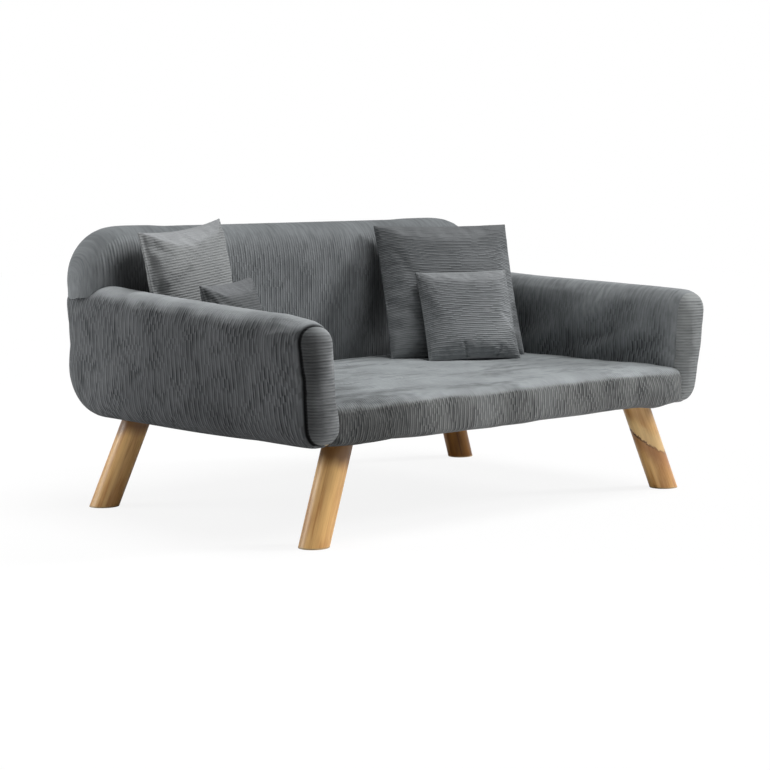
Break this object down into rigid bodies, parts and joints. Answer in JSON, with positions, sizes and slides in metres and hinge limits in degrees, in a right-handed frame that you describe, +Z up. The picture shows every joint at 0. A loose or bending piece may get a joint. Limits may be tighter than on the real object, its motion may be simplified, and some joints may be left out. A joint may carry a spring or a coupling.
{
  "type": "dog sofa bed",
  "caption": "Small padded dog sofa with a rounded back, two leaning arms, splayed round wooden legs and loose square pillows, for a pet to lie on.",
  "frame": {"origin": "on the floor under the middle of the sofa's bounding box", "axes": "+X towards the arm at the viewer's right from the front, -Y towards the front of the seat, +Z up"},
  "size_m": [0.914, 0.615, 0.4577],
  "materials": {
    "corduroy": "mid-grey ribbed corduroy",
    "seat_corduroy": "grey velvety corduroy, lighter on the flat",
    "light_corduroy": "light grey ribbed corduroy",
    "dark_corduroy": "darker grey ribbed corduroy",
    "honey_wood": "clear satin lacquer on honey-coloured wood",
    "pine": "planed, unfinished",
    "plywood": "sanded, unfinished",
    "zinc": "bright zinc plate",
    "foam": "open-cell upholstery foam",
    "filling": "white polyester fibre filling",
    "black_cloth": "black spun-bonded cloth",
    "zip": "grey nylon coil zip",
    "glide": "black plastic"
  },
  "bodies": {
    "sofa": {"front_rail": "pine", "rear_rail": "pine", "left_rail": "pine", "right_rail": "pine", "centre_rail": "pine", "seat_deck": "plywood", "deck_screws": "zinc", "dust_cover": "black_cloth", "left_arm_board": "plywood", "right_arm_board": "plywood", "back_board": "plywood", "arm_bolts": "zinc", "arm_tee_nuts": "zinc", "back_bolts": "zinc", "back_tee_nuts": "zinc", "seat_foam": "foam", "left_arm_foam": "foam", "right_arm_foam": "foam", "back_foam": "foam", "seat_cover": "seat_corduroy", "left_arm_cover": "corduroy", "right_arm_cover": "corduroy", "left_front_panel": "corduroy", "right_front_panel": "corduroy", "back_cover": "corduroy", "leg_plates": "zinc", "plate_screws": "zinc", "hanger_bolts": "zinc", "front_left_leg": "honey_wood", "front_right_leg": "honey_wood", "rear_left_leg": "honey_wood", "rear_right_leg": "honey_wood", "leg_glides": "glide"},
    "left_large_pillow": {"left_large_pillow_cover": "light_corduroy", "left_large_pillow_filling": "filling", "left_large_pillow_zip": "zip"},
    "left_small_pillow": {"left_small_pillow_cover": "light_corduroy", "left_small_pillow_filling": "filling", "left_small_pillow_zip": "zip"},
    "right_large_pillow": {"right_large_pillow_cover": "dark_corduroy", "right_large_pillow_filling": "filling", "right_large_pillow_zip": "zip"},
    "right_small_pillow": {"right_small_pillow_cover": "dark_corduroy", "right_small_pillow_filling": "filling", "right_small_pillow_zip": "zip"}
  },
  "joints": [
    {"name": "lift_left_large_pillow", "type": "slide", "parent": "sofa", "child": "left_large_pillow", "axis": [0, 0, 1], "range_m": [0, 0.25]},
    {"name": "lift_left_small_pillow", "type": "slide", "parent": "left_large_pillow", "child": "left_small_pillow", "axis": [0, -0.2, 0.9798], "range_m": [0, 0.2]},
    {"name": "lift_right_large_pillow", "type": "slide", "parent": "sofa", "child": "right_large_pillow", "axis": [0, 0, 1], "range_m": [0, 0.25]},
    {"name": "lift_right_small_pillow", "type": "slide", "parent": "right_large_pillow", "child": "right_small_pillow", "axis": [0, -0.2, 0.9798], "range_m": [0, 0.2]}
  ]
}
